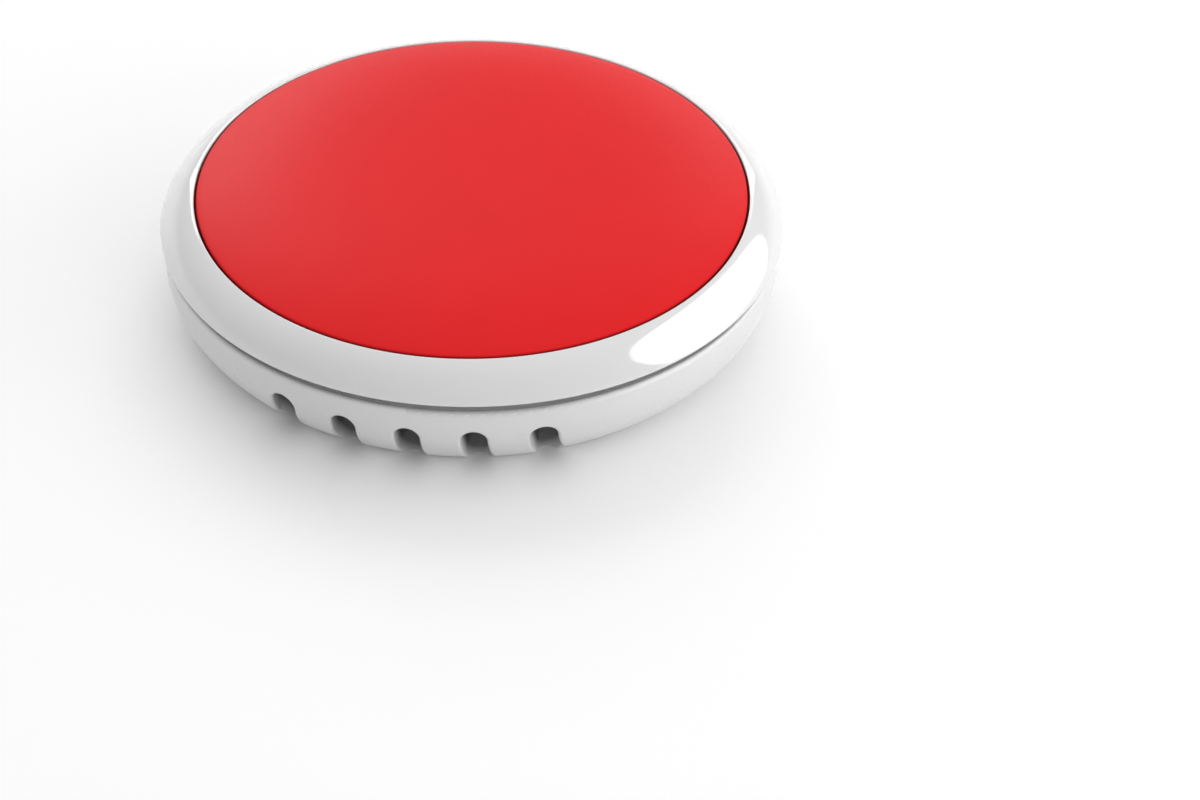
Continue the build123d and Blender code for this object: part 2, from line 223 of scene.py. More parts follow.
def in_lines(tree, place):
    """Coordinates drawn out along X, so the grain becomes brushed lines."""
    drawn_out = node(tree, "ShaderNodeMapping", Vector=place, Scale=(BRUSHED_STRETCH, 1, 1))
    return drawn_out.outputs["Vector"]


# %% [markdown]
# ## Painted shade in a narrow gap
# A hairline gap between two mouldings is nearly black on the real object, but rendered white
# walls that face each other light each other up. So shade is painted into the colour there. Fixed
# places for it would be off as soon as a size changes, so an Ambient Occlusion node finds the gap
# by itself, because it measures how near other walls stand.

# %% Measure how open a place is
WALL_RAYS = 6
GAP_REACH = 0.35 * MM
GAP_CLOSED = 0.2
GAP_FREE = 0.7


def openness(tree, reach, own_walls, closed, free):
    """How free a place is of walls within reach. The open share of what it faces counts as 0 at
    closed or less, and as 1 at free or more."""
    around = node(tree, "ShaderNodeAmbientOcclusion", samples=WALL_RAYS, only_local=own_walls,
                  Distance=reach)
    return ranged(tree, around.outputs["AO"], closed, free, 0, 1)


def painted_gap_shade(tree, place, level, reach=GAP_REACH, darkest=0.35, spared=0.0):
    """The level with painted shade, darker in a narrow gap.
    Where spared is 1, the level stays as it is.
    """
    # Painted shade: the colour is multiplied down where other walls stand close.
    free = maths(tree, "MAXIMUM", openness(tree, reach, False, GAP_CLOSED, GAP_FREE), spared)
    return product(tree, level, ranged(tree, free, 0, 1, darkest, 1))


# %% [markdown]
# ## Helpers for Geometry Nodes
# Three trees make the shapes that are new here: a lathe, even copies round the axis, and a cut.
# Each could be mesh code, but a tree keeps its sizes as named inputs, and one tree serves every
# piece of its kind. Only the blocks to copy and to cut with are mesh code. The helpers start a
# tree, end it, and turn its result into a plain mesh.

# %% Helpers for the trees
SMOOTH_ANGLE = math.radians(35)
ROUNDING_STEPS = 3


def geometry_tree(name, sockets):
    """An empty tree with the named inputs, and its input and output nodes."""
    tree = bpy.data.node_groups.new(name, "GeometryNodeTree")
    for label, kind in sockets:
        tree.interface.new_socket(label, in_out="INPUT", socket_type="NodeSocket" + kind)
    tree.interface.new_socket("Geometry", in_out="OUTPUT", socket_type="NodeSocketGeometry")
    return tree, tree.nodes.new("NodeGroupInput").outputs, tree.nodes.new("NodeGroupOutput").inputs


def finished(tree, mesh, inputs, output):
    """Smooths all edges flatter than the angle, and ends the tree with real, coated geometry."""
    angle = node(tree, "GeometryNodeInputMeshEdgeAngle").outputs["Unsigned Angle"]
    flat = node(tree, "FunctionNodeCompare", operation="LESS_THAN", A=angle,
                B=inputs["Smooth angle"])
    faces = node(tree, "GeometryNodeSetShadeSmooth", Geometry=mesh)
    edges = node(tree, "GeometryNodeSetShadeSmooth", domain="EDGE",
                 Geometry=faces.outputs["Geometry"], Shade_Smooth=flat.outputs["Result"])
    real = node(tree, "GeometryNodeRealizeInstances", Geometry=edges.outputs["Geometry"])
    coated = node(tree, "GeometryNodeSetMaterial", Geometry=real.outputs["Geometry"],
                  Material=inputs["Finish"])
    tree.links.new(coated.outputs["Geometry"], output["Geometry"])


def grown(name, tree, rounding=0, **values):
    """Runs a tree with these inputs, rounds its edges by this much in metres, and keeps a plain
    mesh. An input's name has _ for each space."""
    piece = bpy.data.objects.new(name, bpy.data.meshes.new(name))
    scene.collection.objects.link(piece)
    modifier = piece.modifiers.new(tree.name, "NODES")
    modifier.node_group = tree
    for item in tree.interface.items_tree:
        if item.in_out == "INPUT" and item.name.replace(" ", "_") in values:
            modifier[item.identifier] = values[item.name.replace(" ", "_")]
    if rounding:
        edges = piece.modifiers.new("rounded edges", "BEVEL")
        edges.width = rounding
        edges.segments = ROUNDING_STEPS
    shading = piece.modifiers.new("even shading", "WEIGHTED_NORMAL")
    shading.keep_sharp = True
    ready = piece.evaluated_get(bpy.context.evaluated_depsgraph_get())
    made = bpy.data.meshes.new_from_object(ready)
    piece.modifiers.clear()
    piece.data = made
    made.name = name
    return piece


def measured(piece):
    """Prints what a mesh holds, and how many edges lack their two faces."""
    shape = bmesh.new()
    shape.from_mesh(piece.data)
    open_edges = sum(1 for edge in shape.edges if len(edge.link_faces) != 2)
    volume = shape.calc_volume(signed=True) / MM ** 3
    print(piece.name, len(shape.faces), "faces", round(volume, 3), "mm3,", open_edges, "open edges")
    shape.free()


# %% [markdown]
# ## The lathe
# The cap and the ring are round, and so are the cell's can and the screws. Each could be modelled
# by hand from a cylinder, but a lathe makes it from one outline. That outline is a curve of
# straight runs, and each of its points carries its own rounding in the curve's radius, so one
# Fillet Curve node rounds every corner as much as it needs. Curve to Mesh then carries the
# outline round a circle. An outline that starts and ends on the axis stays open, because Merge by
# Distance closes it at the two poles.

# %% Build the lathe
LATHE_CIRCLE = 10 * MM
WELD_DISTANCE = 0.0005 * MM


def lathe_tree():
    """Turns an outline, drawn as radius and height, round the upright axis."""
    tree, inputs, output = geometry_tree("lathe", [
        ("Outline", "Object"), ("Steps round", "Int"), ("Corner steps", "Int"),
        ("Smooth angle", "Float"), ("Finish", "Material")])
    outline = node(tree, "GeometryNodeObjectInfo", Object=inputs["Outline"])
    rounding = node(tree, "GeometryNodeInputRadius")
    rounded = node(tree, "GeometryNodeFilletCurve", mode="POLY", Limit_Radius=True,
                   Curve=outline.outputs["Geometry"], Count=inputs["Corner steps"],
                   Radius=rounding.outputs["Radius"])
    profile = node(tree, "GeometryNodeTransform", Geometry=rounded.outputs["Curve"],
                   Scale=(1, -1, 1), Translation=(-LATHE_CIRCLE, 0, 0))
    circle = node(tree, "GeometryNodeCurvePrimitiveCircle", Resolution=inputs["Steps round"],
                  Radius=LATHE_CIRCLE)
    swept = node(tree, "GeometryNodeCurveToMesh", Curve=circle.outputs["Curve"],
                 Profile_Curve=profile.outputs["Geometry"])
    welded = node(tree, "GeometryNodeMergeByDistance", Geometry=swept.outputs["Mesh"],
                  Distance=WELD_DISTANCE)
    finished(tree, welded.outputs["Geometry"], inputs, output)
    return tree


def print_inputs(tree):
    names = [item.name for item in tree.interface.items_tree if item.in_out == "INPUT"]
    print(tree.name, "inputs", names)


LATHE = lathe_tree()
print_inputs(LATHE)

# %% [markdown]
# ## Outlines for the lathe
# A round piece is drawn as half of its section. Straight runs need two corners. A convex crest
# could be a spline through a few points, but an arc between two corners has one even curve.

# %% Draw outlines and turn them
CORNER_STEPS = 4


def arc(start, end, bulge, steps):
    """Points on an arc from start to end, each (radius, height, no rounding). A positive bulge
    stands off to the left of the way from start to end."""
    start, end = Vector(start), Vector(end)
    half = (end - start).length / 2
    radius = (half ** 2 + bulge ** 2) / (2 * abs(bulge))
    left = Vector((start.y - end.y, end.x - start.x)).normalized() * math.copysign(1, bulge)
    centre = (start + end) / 2 + left * (abs(bulge) - radius)
    sweep = -math.copysign(2 * math.asin(half / radius), bulge)
    points = []
    for step in range(steps + 1):
        spoke = Matrix.Rotation(sweep * step / steps, 2) @ (start - centre)
        points.append((centre.x + spoke.x, centre.y + spoke.y, 0))
    return points


def turned(name, finish, corners, steps_round=192):
    """A piece turned from a clockwise outline of (radius, height, rounding) in millimetres."""
    data = bpy.data.curves.new(name + "_outline", "CURVE")
    data.dimensions = "3D"
    line = data.splines.new("POLY")
    line.points.add(len(corners) - 1)
    for point, (radius, height, rounding) in zip(line.points, corners):
        point.co = (radius * MM, height * MM, 0, 1)
        point.radius = rounding * MM
    line.use_cyclic_u = corners[0][0] > 0
    outline = bpy.data.objects.new(name + "_outline", data)
    scene.collection.objects.link(outline)
    piece = grown(name, LATHE, Outline=outline, Steps_round=steps_round, Corner_steps=CORNER_STEPS,
                  Smooth_angle=SMOOTH_ANGLE, Finish=finish)
    bpy.data.objects.remove(outline)
    measured(piece)
    return piece


# %% [markdown]
# ## Copies round the axis, and cut-outs
# The cap's ribs and the screws stand at even steps round the upright axis. They could be placed
# one by one, but a rule with a count keeps them even. Another small tree takes the shape of a
# cutter out of a piece. It makes the plus mark and the screws' recesses.

# %% Build both trees
def copies_tree():
    """Sets copies of a piece at even steps round the upright axis, each turned to face it."""
    tree, inputs, output = geometry_tree("copies round the axis", [
        ("Piece", "Object"), ("Count", "Int"), ("Distance", "Float"), ("First angle", "Float"),
        ("Smooth angle", "Float"), ("Finish", "Material")])
    number = node(tree, "GeometryNodeInputIndex").outputs["Index"]
    step = maths(tree, "DIVIDE", 2 * math.pi, inputs["Count"])
    angle = maths(tree, "MULTIPLY_ADD", number, step, inputs["First angle"])
    reach = node(tree, "ShaderNodeCombineXYZ", X=inputs["Distance"])
    spot = node(tree, "ShaderNodeVectorRotate", rotation_type="Z_AXIS",
                Vector=reach.outputs["Vector"], Angle=angle)
    points = node(tree, "GeometryNodePoints", Count=inputs["Count"],
                  Position=spot.outputs["Vector"])
    turn = node(tree, "ShaderNodeCombineXYZ", Z=angle)
    rotation = node(tree, "FunctionNodeEulerToRotation", Euler=turn.outputs["Vector"])
    piece = node(tree, "GeometryNodeObjectInfo", Object=inputs["Piece"])
    copies = node(tree, "GeometryNodeInstanceOnPoints", Points=points.outputs["Points"],
                  Instance=piece.outputs["Geometry"], Rotation=rotation.outputs["Rotation"])
    real = node(tree, "GeometryNodeRealizeInstances", Geometry=copies.outputs["Instances"])
    finished(tree, real.outputs["Geometry"], inputs, output)
    return tree


def cut_tree():
    """Takes the cutter's shape out of the piece."""
    tree, inputs, output = geometry_tree("cut out", [
        ("Piece", "Object"), ("Cutter", "Object"), ("Smooth angle", "Float"),
        ("Finish", "Material")])
    piece = node(tree, "GeometryNodeObjectInfo", Object=inputs["Piece"])
    cutter = node(tree, "GeometryNodeObjectInfo", Object=inputs["Cutter"])
    cut = node(tree, "GeometryNodeMeshBoolean", operation="DIFFERENCE", solver="EXACT",
               Mesh_1=piece.outputs["Geometry"], Mesh_2=cutter.outputs["Geometry"])
    finished(tree, cut.outputs["Mesh"], inputs, output)
    return tree


COPIES = copies_tree()
CUT = cut_tree()
print_inputs(COPIES)
print_inputs(CUT)

# %% [markdown]
# ## Blocks to cut with and to copy
# A rib and a recess are both upright blocks over a flat outline. Each could start as a cube that
# is scaled, but an outline in millimetres says the size once, and a plus sign is as easy as a bar.

# %% Blocks, cuts and copies
def prism(name, outline, low, high, taper=1):
    """An upright block over an outline in millimetres. Taper scales its lower end."""
    corners = [(x * taper * MM, y * taper * MM, low * MM) for x, y in outline]
    corners += [(x * MM, y * MM, high * MM) for x, y in outline]
    count = len(outline)
    sides = [(i, (i + 1) % count, count + (i + 1) % count, count + i) for i in range(count)]
    bottom = tuple(reversed(range(count)))
    top = tuple(range(count, 2 * count))
    mesh = bpy.data.meshes.new(name)
    mesh.from_pydata(corners, [], [bottom, top] + sides)
    block = bpy.data.objects.new(name, mesh)
    scene.collection.objects.link(block)
    return block


def plus_outline(reach, width):
    """A plus sign's corners, counter-clockwise. Each arm reaches this far from the middle."""
    half = width / 2
    arm = [Vector((half, -half)), Vector((reach, -half)), Vector((reach, half))]
    turns = [Matrix.Rotation(math.radians(90 * quarter), 2) for quarter in range(4)]
    return [tuple(turn @ corner) for turn in turns for corner in arm]


def with_cut(piece, cutter, finish):
    """The piece less the cutter, under the piece's own name. Both guides are removed."""
    name = piece.name
    piece.name = name + "_uncut"
    made = grown(name, CUT, Piece=piece, Cutter=cutter, Smooth_angle=SMOOTH_ANGLE, Finish=finish)
    bpy.data.objects.remove(piece)
    bpy.data.objects.remove(cutter)
    measured(made)
    return made


def round_copies(name, piece, count, distance, first_angle, finish, rounding=0):
    """Even copies of a piece round the upright axis, with sizes in millimetres and degrees. The
    piece itself is only a guide, and is removed."""
    made = grown(name, COPIES, rounding=rounding * MM, Piece=piece, Count=count,
                 Distance=distance * MM, First_angle=math.radians(first_angle),
                 Smooth_angle=SMOOTH_ANGLE, Finish=finish)
    bpy.data.objects.remove(piece)
    measured(made)
    return made


# %% [markdown]
# ## The glossy ring
# The white ring round the cap is one glossy moulding. Its crest is convex, so it catches a
# bright window of light, and its inner lip stands just clear of the cap. Its outline could be
# a spline, but an arc keeps the crest's curve even, and even curves make clean reflections.

# %% Turn the ring
# The ring's colour gets painted shade where other pieces stand close, as at the cap's hairline gap.
gloss_white = grained("gloss_white", grey(0.80), roughness=0.09, grain_size=0.9 * MM,
                      grain_depth=0.0006 * MM, mottle=0.01, darken=painted_gap_shade, Coat_Weight=1.0,
                      Coat_Roughness=0.03, Specular_IOR_Level=0.5)
ring_low = box_in_mm("bezel_ring")[0]
ring_radius = 16.95
lip_radius = 15.0
lip_height = 6.78
lip_thickness = 0.48
lip_rounding = 0.08
ring_bore = 15.6
ring_bulge = 0.3
seam_height = ring_low.z
seam_rounding = 0.12
lip_underside = lip_height - lip_thickness

crest = arc((lip_radius, lip_height), (ring_radius, seam_height), ring_bulge, steps=14)
crest[0] = (lip_radius, lip_height, lip_rounding)
crest[-1] = (ring_radius, seam_height, seam_rounding)
ring = turned("white_ring", gloss_white, crest + [
    (ring_bore, seam_height, 0.04), (ring_bore, lip_underside, 0.05),
    (lip_radius, lip_underside, 0.05)], steps_round=256)
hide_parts("bezel_ring")
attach(ring, "cover")

# %% [markdown]
# ## The red cap
# The cap is a shallow dome with a soft, satin feel, and the whole of it is pressed. It is a thin
# shell with a flange that keeps it in the ring, a post that meets the switch, and six ribs that
# keep the post upright. The ribs are moulded with the shell. They could be fused to it, but a
# mesh of their own leaves the dome's even rings of faces as they are, and its shine clean.
# The dome could be a part of a sphere, but its shine shows a middle that is nearly flat and an
# edge that falls away, so the height falls with the fourth power of the radius.

# %% Turn the cap
# The cap's colour gets painted shade where the ring stands close, in the hairline gap.
soft_red = grained("soft_red", (0.78, 0.008, 0.011), roughness=0.45, grain_size=0.16 * MM,
                   grain_depth=0.002 * MM, mottle=0.02, darken=painted_gap_shade, Specular_IOR_Level=0.2)
cap_low, cap_high = box_in_mm("push_cap")
cap_radius = 14.88
cap_edge_rounding = 0.12
cap_crown = cap_high.z - lip_height
crown_power = 4
cap_shell = 0.9
cap_inner_radius = 14.08
flange_radius = 15.35
flange_top = 6.27
post_radius = 1.4
post_bottom = 6.44
post_rounding = 0.1
dome_radius = (cap_radius ** 2 + cap_crown ** 2) / (2 * cap_crown)


def under_dome(radius):
    """Height of the shell's underside, a part of a sphere."""
    return cap_high.z - dome_radius + math.sqrt((dome_radius - cap_shell) ** 2 - radius ** 2)


def dome_arc(start_radius, end_radius, height_at, steps):
    """Points along a dome, evenly spaced in radius."""
    reach = end_radius - start_radius
    spread = [start_radius + reach * step / steps for step in range(steps + 1)]
    return [(radius, height_at(radius), 0) for radius in spread]


def over_dome(radius):
    """Height of the top, which is nearly flat in the middle and falls away near the edge."""
    return cap_high.z - cap_crown * (radius / cap_radius) ** crown_power


crown = dome_arc(0, cap_radius, over_dome, steps=40)
crown[-1] = (cap_radius, lip_height, cap_edge_rounding)
underside = dome_arc(cap_inner_radius, post_radius, under_dome, steps=36)
underside[-1] = (post_radius, under_dome(post_radius), post_rounding)
cap = turned("red_cap", soft_red, crown + [
    (cap_radius, flange_top, 0.05), (flange_radius, flange_top, 0.06),
    (flange_radius, cap_low.z, 0.06), (cap_inner_radius, cap_low.z, 0.05)] + underside + [
    (post_radius, post_bottom, 0.08), (0, post_bottom, 0)], steps_round=256)
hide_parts("push_cap")
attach(cap, "cap")

# %% [markdown]
# ## The ribs under the cap
# Six thin ribs run out from the post, one every 60 degrees. They could be drawn into the section
# and turned, but a rib isn't round, so one is drawn as a block and copied round the axis.

# %% Six ribs under the cap
rib_count = 6
rib_reach = 6.0
rib_width = 0.5
rib_depth = 0.25
rib_start = post_radius / 2
rib_outline = [(rib_start, -rib_width / 2), (rib_reach, -rib_width / 2),
               (rib_reach, rib_width / 2), (rib_start, rib_width / 2)]
rib = prism("rib", rib_outline, under_dome(rib_reach) - rib_depth, under_dome(0))
ribs = round_copies("cap_ribs", rib, rib_count, distance=0, first_angle=30, finish=soft_red,
                    rounding=0.05)
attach(ribs, "cap")

# %% [markdown]
# ## The bowl
# The bowl is satin white with five vents. Its shape is a fitted one, so the construction model's
# own mesh stays and only its finish is made here. The real vents look dark, because they open
# into the case, but white walls light each other up in the render. Less light would darken them
# and everything else too. So shade is painted into the finish: its colour gets darker with depth
# inside the vents, and with how near the walls stand in the groove under the ring.

# %% Finish the bowl
foot_radius = 14.6
flank_lean = 0.6
vent_pitch = 3.44
vent_width = 1.35
vent_count = 5
vent_end = 14.3
vent_top = 3.3
vent_margin = 0.1
vent_wall_reach = 2.5
vent_closed = 0.82
vent_free = 0.98
# Where the painted shade in the vents starts and becomes full, and how dark it gets.
shade_start = -0.1
shade_full = 0.55
vent_shade = 0.87
# The painted shade of the groove under the ring, above this height.
groove_start = 3.6
groove_wall_reach = 0.9
groove_darkest = 0.1


def in_a_vent(tree, parts, radius):
    """One inside the vents, which are all in front and side by side, and zero elsewhere."""
    from_own_middle = maths(tree, "PINGPONG", parts["X"], vent_pitch / 2 * MM)
    aside = maths(tree, "ABSOLUTE", parts["X"])
    return product(
        tree, maths(tree, "LESS_THAN", from_own_middle, (vent_width / 2 + vent_margin) * MM),
        maths(tree, "LESS_THAN", aside, vent_count / 2 * vent_pitch * MM),
        maths(tree, "LESS_THAN", parts["Y"], 0.0),
        maths(tree, "LESS_THAN", parts["Z"], vent_top * MM),
        maths(tree, "GREATER_THAN", radius, vent_end * MM))


def painted_opening_shade(tree, place, level):
    """The level with painted shade, darker in the groove under the ring and deep inside
    the vents. Depth is measured from the bowl's flank, taken as a straight line, and only
    narrow places count."""
    parts, radius = from_axis(tree, place)
    flank = maths(tree, "MULTIPLY_ADD", parts["Z"], flank_lean, foot_radius * MM)
    depth = maths(tree, "SUBTRACT", flank, radius)
    deep = ranged(tree, depth, shade_start * MM, shade_full * MM, 0, vent_shade)
    free = openness(tree, vent_wall_reach * MM, True, vent_closed, vent_free)
    narrow = maths(tree, "SUBTRACT", 1.0, free)
    # Painted shade: the colour is made darker deep in the vents and in the groove under the ring.
    dark = product(tree, deep, narrow, in_a_vent(tree, parts, radius))
    shaded = product(tree, level, maths(tree, "SUBTRACT", 1.0, dark))
    below = maths(tree, "LESS_THAN", parts["Z"], groove_start * MM)
    return painted_gap_shade(tree, place, shaded, reach=groove_wall_reach * MM, darkest=groove_darkest,
                   spared=below)


# The bowl's colour carries the painted shade of its vents and groove.
satin_white = grained("satin_white", grey(0.80), roughness=0.3, grain_size=0.12 * MM,
                      grain_depth=0.0015 * MM, mottle=0.015, darken=painted_opening_shade)

# %% [markdown]
# ## The coin cell
# The cell is the first thing seen when the cover comes off. Its can is drawn from sheet steel
# with rounded edges and a fine groove round its plus face, and that face is marked with a plus.
# The mark could be a bump in the finish, but a real recess also reads from the side.

# %% Turn the can and cut its mark
cell_steel = grained("cell_steel", (0.62, 0.62, 0.61), roughness=0.24, grain_size=0.035 * MM,
                     grain_depth=0.0006 * MM, mottle=0.04, follow=in_rings, Metallic=1.0)
can_low, can_high = box_in_mm("cell_can")
can_radius = 10.0
sheet = 0.25
crimp_radius = 9.35
groove_radius = 8.7
groove_half_width = 0.08
groove_depth = 0.04
mark_reach = 1.3
mark_width = 0.42
mark_overshoot = 0.1
can_bore = can_radius - sheet
can_floor = can_low.z + sheet
crimp_height = can_high.z - sheet

can = turned("cell_can_spun", cell_steel, [
    (0, can_floor, 0), (can_bore, can_floor, 0.1), (can_bore, crimp_height, 0.1),
    (crimp_radius, crimp_height, 0.03), (crimp_radius, can_high.z, 0.08),
    (can_radius, can_high.z, 0.125), (can_radius, can_low.z, 0.4),
    (groove_radius + groove_half_width, can_low.z, 0.02),
    (groove_radius, can_low.z + groove_depth, 0.02),
    (groove_radius - groove_half_width, can_low.z, 0.02), (0, can_low.z, 0)])
mark = prism("mark", plus_outline(mark_reach, mark_width), can_low.z - mark_overshoot,
             can_low.z + groove_depth)
can = with_cut(can, mark, cell_steel)
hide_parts("cell_can")
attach(can, "cover")

# %% [markdown]
# ## The screws
# Three small screws hold the board to the frame. A screw is turned like the ring, with its
# thread drawn as rings, because at this size a true helix looks the same. Its cross recess is
# cut with a plus-shaped block that narrows towards its lower end.

# %% Turn one screw and set three
screw_steel = grained("screw_steel", (0.60, 0.60, 0.58), roughness=0.3, grain_size=0.07 * MM,
                      grain_depth=0.001 * MM, mottle=0.05, Metallic=1.0)
screw_low, screw_high = box_in_mm("board_screws")
screw_count = 3
screw_circle = 12.575
head_radius = 0.9
head_height = 0.3
shank_radius = 0.5
plain_shank = 0.2
thread_pitch = 0.22
thread_turns = 6
thread_depth = 0.08
tip_step = 0.12
recess_reach = 0.52
recess_width = 0.17
recess_depth = 0.2
recess_taper = 0.6
head_bottom = screw_high.z - head_height

thread = []
for turn_number in range(thread_turns):
    top = head_bottom - plain_shank - thread_pitch * turn_number
    thread += [(shank_radius - thread_depth, top, 0),
               (shank_radius, top - thread_pitch / 2, 0.01)]
screw = turned("screw", screw_steel, [
    (0, screw_high.z, 0), (head_radius, screw_high.z, 0.14), (head_radius, head_bottom, 0.03),
    (shank_radius, head_bottom, 0)] + thread + [
    (shank_radius - tip_step, screw_low.z, 0.05), (0, screw_low.z, 0)], steps_round=48)
recess = prism("recess", plus_outline(recess_reach, recess_width), screw_high.z - recess_depth,
               screw_high.z + recess_depth, recess_taper)
screw = with_cut(screw, recess, screw_steel)
screws = round_copies("small_screws", screw, screw_count, screw_circle, first_angle=90,
                      finish=screw_steel)
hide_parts("board_screws")
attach(screws, "cover")

# %% [markdown]
# ## The circuit board
# The board is green solder mask over copper. Its tracks could be cut as thin pieces, but they
# are only a few hundredths of a millimetre high, so a rule in the finish raises them: the joints
# of two brick patterns, one across the other, run as straight tracks.

# %% A finish for the board
mask_green = (0.012, 0.13, 0.05)
mask_level = 0.7
mask_cloud_size = 3 * MM
mask_cloud_tint = 0.3
track_lengths = (4.6, 3.4)
track_spacing = 1.1
track_width = 0.07
track_height = 0.03
track_tint = 0.9


def solder_mask(name):
    """Green mask, lighter over the tracks that it covers, which run both ways."""
    material, tree, surface, place = new_material(name, Roughness=0.3, Coat_Weight=0.5,
                                                  Coat_Roughness=0.15)
    heights = []
    for quarter, length in enumerate(track_lengths):
        lie = node(tree, "ShaderNodeMapping", Vector=place, Scale=(1 / MM, 1 / MM, 1 / MM),
                   Rotation=(0, 0, quarter * math.pi / 2))
        tracks = node(tree, "ShaderNodeTexBrick", Vector=lie.outputs["Vector"], Scale=1.0,
                      Mortar_Size=track_width, Mortar_Smooth=0.3, Brick_Width=length,
                      Row_Height=track_spacing)
        heights.append(tracks.outputs["Fac"])
    raised = maths(tree, "MAXIMUM", *heights)
    cloud = node(tree, "ShaderNodeTexNoise", Vector=place, Scale=1 / mask_cloud_size, Detail=3.0)
    even = maths(tree, "MULTIPLY_ADD", raised, track_tint, mask_level)
    shade = maths(tree, "MULTIPLY_ADD", cloud.outputs["Fac"], mask_cloud_tint, even)
    tint = node(tree, "ShaderNodeVectorMath", operation="SCALE", Vector=mask_green, Scale=shade)
    tree.links.new(tint.outputs["Vector"], surface.inputs["Base Color"])
    bump = node(tree, "ShaderNodeBump", Height=raised, Distance=track_height * MM)
    tree.links.new(bump.outputs["Normal"], surface.inputs["Normal"])
    print("finish", name, "made of", len(tree.nodes), "nodes")
    return material


board_green = solder_mask("board_green")

# %% [markdown]
# ## The pieces inside
# The frame, the contacts and the small parts keep the construction model's own shapes. Each
# finish could have a cell of its own, but they are all the same recipe, so a table holds their
# values: colour, roughness, size and depth of the grain in millimetres, and how much the colour
# wanders. Each construction piece then gets the finish that its slot names.

# %% Values for the finishes inside
INSIDE = {
    "frame_white": (grey(0.72), 0.42, 0.14, 0.003, 0.02),
    "gasket_black": (grey(0.035), 0.55, 0.1, 0.003, 0.15),
    "cathode_black": (grey(0.03), 0.9, 0.12, 0.02, 0.3),
    "separator_white": ((0.80, 0.79, 0.75), 0.9, 0.06, 0.01, 0.06),
    "switch_black": (grey(0.03), 0.5, 0.08, 0.002, 0.15),
    "plunger_white": (grey(0.70), 0.4, 0.08, 0.001, 0.03),
    "chip_black": ((0.024, 0.024, 0.027), 0.6, 0.04, 0.002, 0.2),
    "antenna_ceramic": ((0.74, 0.77, 0.78), 0.45, 0.05, 0.001, 0.05),
    "capacitor_tan": ((0.42, 0.28, 0.16), 0.5, 0.05, 0.001, 0.12),
    "inductor_grey": (grey(0.22), 0.6, 0.06, 0.003, 0.15),
}
INSIDE_METAL = {
    "anode_grey": ((0.52, 0.52, 0.54), 0.5, 0.3, 0.004, 0.1),
    "contact_metal": ((0.70, 0.66, 0.56), 0.3, 0.05, 0.001, 0.05),
}
print(len(INSIDE), "plain finishes and", len(INSIDE_METAL), "metal ones inside")

# %% Finish every construction piece
finishes = {"satin_white": satin_white, "gloss_white": gloss_white, "soft_red": soft_red,
            "cell_steel": cell_steel, "screw_steel": screw_steel, "board_green": board_green}
for name, (colour, roughness, size, depth, mottle) in INSIDE.items():
    finishes[name] = grained(name, colour, roughness, size * MM, depth * MM, mottle)
for name, (colour, roughness, size, depth, mottle) in INSIDE_METAL.items():
    finishes[name] = grained(name, colour, roughness, size * MM, depth * MM, mottle, in_lines,
                             Metallic=1.0)
for part in frame["record"]["subparts"]:
    coats = frame["nodes"][part["node"]].data.materials
    coats.clear()
    coats.append(finishes[part["material_slot"]])

# %% [markdown]
# ## Light
# A small product is lit by large soft panels close to it. Here one wide panel stands behind the
# sensor, a softbox at its right and a weaker panel at its right front, and they only light. Three
# more lamps are only mirrored. The large oval one is the white window in the glossy ring, and the
# two small cards behind put a faint veil on the red cap. One lamp could do both, but with light
# and mirrored shapes apart, the highlights can be bright while colours keep the level at which
# they are written.

# %% Softboxes
def panel(name, heading, distance, height, width, tall, radiance, aside=0, tilted=True,
          lights=True, mirrored=True, shape="RECTANGLE"):
    """A lamp that looks back along its heading, which is in degrees from +Y towards +X. Sizes
    are in metres. It is tilted down at the sensor or stands upright. Aside moves it on towards a
    higher heading."""
    lamp = bpy.data.lights.new(name, "AREA")
    lamp.shape = shape
    lamp.size = width
    lamp.size_y = tall
    area = width * tall * (math.pi / 4 if shape == "ELLIPSE" else 1)
    lamp.energy = radiance * math.pi * area
    lit = bpy.data.objects.new(name, lamp)
    scene.collection.objects.link(lit)
    turn = Matrix.Rotation(math.radians(-heading), 3, "Z")
    outward = turn @ Vector((0, 1, 0))
    sideways = turn @ Vector((1, 0, 0))
    lit.location = outward * distance + sideways * aside + Vector((0, 0, height))
    back = -outward * distance - Vector((0, 0, height if tilted else 0))
    lit.rotation_euler = back.to_track_quat("-Z", "Y").to_euler()
    lit.visible_diffuse = lights
    lit.visible_glossy = mirrored
    lamp.cycles.use_multiple_importance_sampling = mirrored
    print(name, "power in watts", round(lamp.energy, 2))
    return lit


panel("back_panel", heading=-18, distance=0.42, height=0.28, width=0.5, tall=0.32, radiance=2.1,
      mirrored=False)
panel("right_softbox", heading=78, distance=0.30, height=0.08, width=0.4, tall=0.16, radiance=1.6,
      tilted=False, mirrored=False)
panel("front_panel", heading=125, distance=0.35, height=0.12, width=0.35, tall=0.24, radiance=1.0,
      tilted=False, mirrored=False)
window = panel("mirrored_window", heading=62, distance=0.30, height=0.222, width=0.47, tall=0.53,
               radiance=3.6, aside=0.068, tilted=False, lights=False, shape="ELLIPSE")
panel("left_card", heading=-32, distance=0.40, height=0.20, width=0.14, tall=0.16, radiance=4.0,
      lights=False)
panel("right_card", heading=9, distance=0.40, height=0.18, width=0.13, tall=0.16, radiance=1.9,
      lights=False)

# %% [markdown]
# ## The window and the cap
# Seen from the left, the cap would mirror the window and turn pink. The window could be smaller,
# but the ring needs all of it, so light linking leaves the cap out of what the window reaches.

# %% Keep the window off the red cap
unlit_by_window = bpy.data.collections.new("unlit_by_window")
unlit_by_window.objects.link(cap)
unlit_by_window.collection_objects[0].light_linking.link_state = "EXCLUDE"
window.light_linking.receiver_collection = unlit_by_window

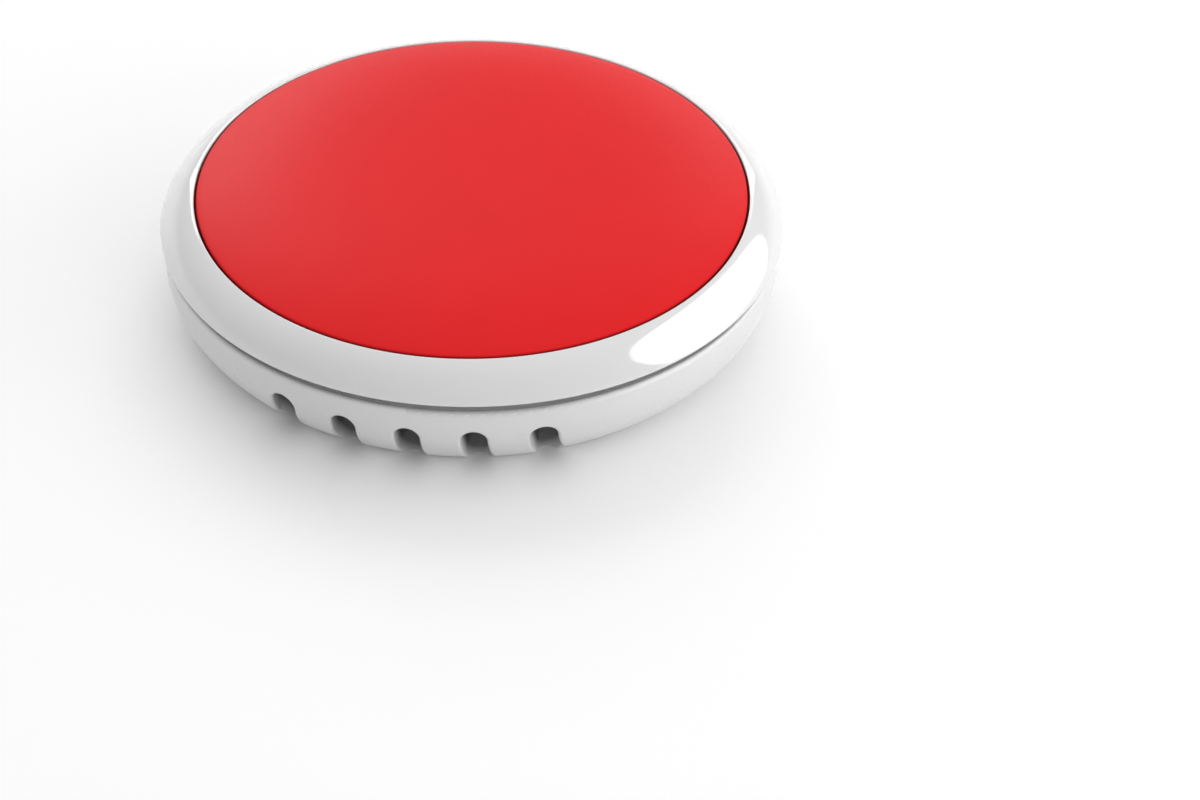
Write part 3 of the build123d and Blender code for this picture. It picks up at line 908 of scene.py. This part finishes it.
# %% [markdown]
# ## World and floor
# The room is white near the horizon and greyer overhead for what is mirrored, which gives the
# ring its soft gradient. As a light it is the other way round, so the undersides stay in shade.
# The camera sees plain white. The floor is white too. It is a little darker as a light source,
# and it keeps the sensor's shadow. One plain white all round would be simpler, but it lights the
# undersides as much as the top.

# %% World
light_low = 0.18
light_high = 0.9
light_rise = (0.15, 0.85)
mirrored_low = 1.0
mirrored_high = 0.4
mirrored_rise = (0.02, 0.3)


def seen_rays(tree):
    """1 for rays sent by the camera or by a shiny or clear surface, 0 for light on the object."""
    rays = node(tree, "ShaderNodeLightPath").outputs
    shiny = maths(tree, "MAXIMUM", rays["Is Glossy Ray"], rays["Is Transmission Ray"])
    return maths(tree, "MAXIMUM", rays["Is Camera Ray"], shiny)


def by_height(tree, low, high, rise):
    """A level that goes from low near the horizon to high overhead. Rise says where it starts and
    ends, as upright parts of the direction, so 0 is the horizon and 1 is straight up."""
    direction = node(tree, "ShaderNodeNewGeometry").outputs["Position"]
    upright = node(tree, "ShaderNodeSeparateXYZ", Vector=direction).outputs["Z"]
    return ranged(tree, upright, *rise, low, high, interpolation_type="SMOOTHSTEP")


world = bpy.data.worlds.new("studio")
world.use_nodes = True
scene.world = world
tree = world.node_tree
sky = tree.nodes["Background"]
sky.inputs["Color"].default_value = grey(1)
level = ranged(tree, seen_rays(tree), 0, 1, by_height(tree, light_low, light_high, light_rise),
               by_height(tree, mirrored_low, mirrored_high, mirrored_rise))
seen = node(tree, "ShaderNodeLightPath").outputs["Is Camera Ray"]
tree.links.new(maths(tree, "MAXIMUM", level, seen), sky.inputs["Strength"])
scene.view_settings.view_transform = "Standard"
print("world", world.name, "made of", len(tree.nodes), "nodes")

# %% Floor
floor_reach = 2.0
floor_shade = 0.8
floor_corners = [(-floor_reach, -floor_reach, 0), (floor_reach, -floor_reach, 0),
                 (floor_reach, floor_reach, 0), (-floor_reach, floor_reach, 0)]
floor_data = bpy.data.meshes.new("floor")
floor_data.from_pydata(floor_corners, [], [(0, 1, 2, 3)])
floor = bpy.data.objects.new("floor", floor_data)
scene.collection.objects.link(floor)
floor_white, tree, surface, place = new_material("floor_white", Roughness=0.8)
shade = ranged(tree, seen_rays(tree), 0, 1, floor_shade, 1)
tree.links.new(shade, surface.inputs["Base Color"])
floor_data.materials.append(floor_white)
print("floor", 2 * floor_reach, "m square")
